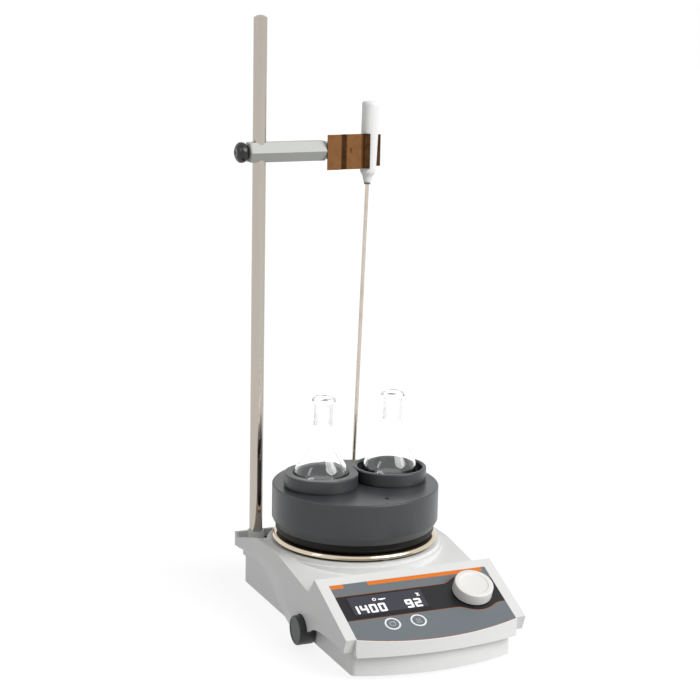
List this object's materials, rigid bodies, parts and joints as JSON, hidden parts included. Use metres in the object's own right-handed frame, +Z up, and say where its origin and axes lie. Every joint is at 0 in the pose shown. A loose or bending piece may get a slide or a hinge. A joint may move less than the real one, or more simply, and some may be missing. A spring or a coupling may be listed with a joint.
{
  "type": "multi-well magnetic stirrer",
  "caption": "Heated magnetic stirrer with a multi-well carrier block holding round flasks, and a temperature probe clipped to a support rod.",
  "frame": {"origin": "on the table plane under the feet, on the hot plate's axis", "axes": "+Z up, -Y towards the control panel, +X to the right of someone facing the panel"},
  "size_m": [0.167, 0.2687, 0.5145],
  "materials": {
    "housing_grey": "light grey fine-grained moulded plastic",
    "foil": "satin printed membrane",
    "window": "dark glossy display window",
    "display": "display module",
    "circuit_board": "solder-masked board with components",
    "knob_white": "off-white moulded plastic",
    "button_foil": "satin printed membrane",
    "dark_plastic": "dark grey moulded plastic",
    "black_gloss": "glossy black moulded plastic",
    "rubber_black": "black rubber",
    "plate_steel": "polished metal plate",
    "coated_aluminium": "dark grey coated aluminium, turned",
    "ring_black": "black heat-resistant plastic",
    "rod_steel": "polished stainless steel",
    "zinc_steel": "zinc-plated steel",
    "clip_bronze": "browned spring bronze",
    "arm_grey": "light grey painted bar",
    "glass_clear": "clear borosilicate glass",
    "handle_white": "white plastic",
    "insulation": "mineral insulation board",
    "heater": "cast heating element",
    "magnet": "nickel-plated magnet",
    "stir_white": "white coated stirring bar"
  },
  "bodies": {
    "housing": {"base_housing": "housing_grey", "bottom_cover": "zinc_steel", "housing_screws": "zinc_steel", "rubber_feet": "rubber_black", "upper_housing": "housing_grey", "front_foil": "foil", "display_window": "window", "display_module": "display", "control_board": "circuit_board", "board_screws": "zinc_steel", "key_switches": "dark_plastic", "encoder_body": "zinc_steel", "switch_body": "dark_plastic", "hot_plate": "plate_steel", "heating_element": "heater", "insulation_disc": "insulation", "plate_standoffs": "zinc_steel", "motor_bracket": "zinc_steel", "motor": "zinc_steel", "power_board": "circuit_board", "rear_panel": "dark_plastic", "power_inlet": "black_gloss", "sensor_socket": "dark_plastic"},
    "speed_button": {"button_speed": "button_foil"},
    "heat_button": {"button_heat": "button_foil"},
    "selector_plunger": {"encoder_plunger": "zinc_steel"},
    "selector": {"encoder_shaft": "zinc_steel", "selector_knob": "knob_white"},
    "mains_switch": {"switch_knob": "dark_plastic", "switch_shaft": "zinc_steel"},
    "rotor": {"drive_rotor": "heater", "drive_magnets": "magnet"},
    "carrier": {"carrier_block": "coated_aluminium", "centring_ring": "ring_black"},
    "left_insert": {"well_insert_left": "coated_aluminium"},
    "right_insert": {"well_insert_right": "coated_aluminium"},
    "left_flask": {"flask_left": "glass_clear"},
    "right_flask": {"flask_right": "glass_clear"},
    "left_bar": {"stir_bar_left": "stir_white"},
    "right_bar": {"stir_bar_right": "stir_white"},
    "rod": {"support_rod": "rod_steel", "rod_nut": "zinc_steel"},
    "arm": {"clamp_arm": "arm_grey", "clip_front_leaf": "clip_bronze", "clip_rear_leaf": "clip_bronze", "clip_rivet": "clip_bronze"},
    "clamp_turn": {"clamp_screw": "zinc_steel", "clamp_knob": "black_gloss"},
    "pad": {"pressure_pad": "zinc_steel"},
    "probe": {"probe_handle": "handle_white", "probe_collar": "dark_plastic", "probe_stem": "rod_steel"}
  },
  "joints": [
    {"name": "speed_button_press", "type": "slide", "parent": "housing", "child": "speed_button", "axis": [0, 0.3997, -0.9166], "range_m": [0, 0.0004], "stiffness_N_per_m": 800, "springref_m": -0.0003},
    {"name": "heat_button_press", "type": "slide", "parent": "housing", "child": "heat_button", "axis": [0, 0.3997, -0.9166], "range_m": [0, 0.0004], "stiffness_N_per_m": 800, "springref_m": -0.0003},
    {"name": "selector_push", "type": "slide", "parent": "housing", "child": "selector_plunger", "axis": [0, 0.3997, -0.9166], "range_m": [0, 0.0005], "stiffness_N_per_m": 2000, "springref_m": -0.0003},
    {"name": "selector_turn", "type": "hinge", "parent": "selector_plunger", "child": "selector", "pos_m": [0.0468, -0.13692, 0.05221], "axis": [0, -0.3997, 0.9166], "continuous": true},
    {"name": "mains_switch_turn", "type": "hinge", "parent": "housing", "child": "mains_switch", "pos_m": [-0.0865, -0.076, 0.0145], "axis": [1, 0, 0], "range_deg": [0, 90]},
    {"name": "rotor_spin", "type": "hinge", "parent": "housing", "child": "rotor", "pos_m": [0, 0, 0.037], "axis": [0, 0, 1], "continuous": true},
    {"name": "carrier_lift", "type": "slide", "parent": "housing", "child": "carrier", "axis": [0, 0, 1], "range_m": [0, 0.15]},
    {"name": "left_insert_lift", "type": "slide", "parent": "carrier", "child": "left_insert", "axis": [0, 0, 1], "range_m": [0, 0.06]},
    {"name": "right_insert_lift", "type": "slide", "parent": "carrier", "child": "right_insert", "axis": [0, 0, 1], "range_m": [0, 0.06]},
    {"name": "left_flask_lift", "type": "slide", "parent": "left_insert", "child": "left_flask", "axis": [0, 0, 1], "range_m": [0, 0.1]},
    {"name": "right_flask_lift", "type": "slide", "parent": "right_insert", "child": "right_flask", "axis": [0, 0, 1], "range_m": [0, 0.1]},
    {"name": "left_bar_spin", "type": "hinge", "parent": "left_flask", "child": "left_bar", "pos_m": [-0.0328, 0, 0.103], "axis": [0, 0, 1], "continuous": true},
    {"name": "right_bar_spin", "type": "hinge", "parent": "right_flask", "child": "right_bar", "pos_m": [0.0328, 0, 0.103], "axis": [0, 0, 1], "continuous": true},
    {"name": "arm_swing", "type": "hinge", "parent": "housing", "child": "rod", "pos_m": [-0.063, 0.0785, 0.04], "axis": [0, 0, 1], "range_deg": [-3, 100]},
    {"name": "arm_slide", "type": "slide", "parent": "rod", "child": "arm", "axis": [0, 0, 1], "range_m": [-0.03, 0.1]},
    {"name": "clamp_screw_turn", "type": "hinge", "parent": "arm", "child": "clamp_turn", "pos_m": [-0.0745, 0.0785, 0.3966], "axis": [-1, 0, 0], "range_deg": [0, 360]},
    {"name": "pad_slide", "type": "slide", "parent": "arm", "child": "pad", "axis": [-1, 0, 0], "range_m": [0, 0.001]},
    {"name": "probe_slide", "type": "slide", "parent": "arm", "child": "probe", "axis": [0.034, 0, 0.9994], "range_m": [-0.01, 0.015]}
  ],
  "couplings": [
    {"joint": "left_bar_spin", "follows": "rotor_spin", "ratio": 1},
    {"joint": "right_bar_spin", "follows": "rotor_spin", "ratio": 1},
    {"joint": "pad_slide", "follows": "clamp_screw_turn", "m_per_rad": 0.00015915}
  ]
}
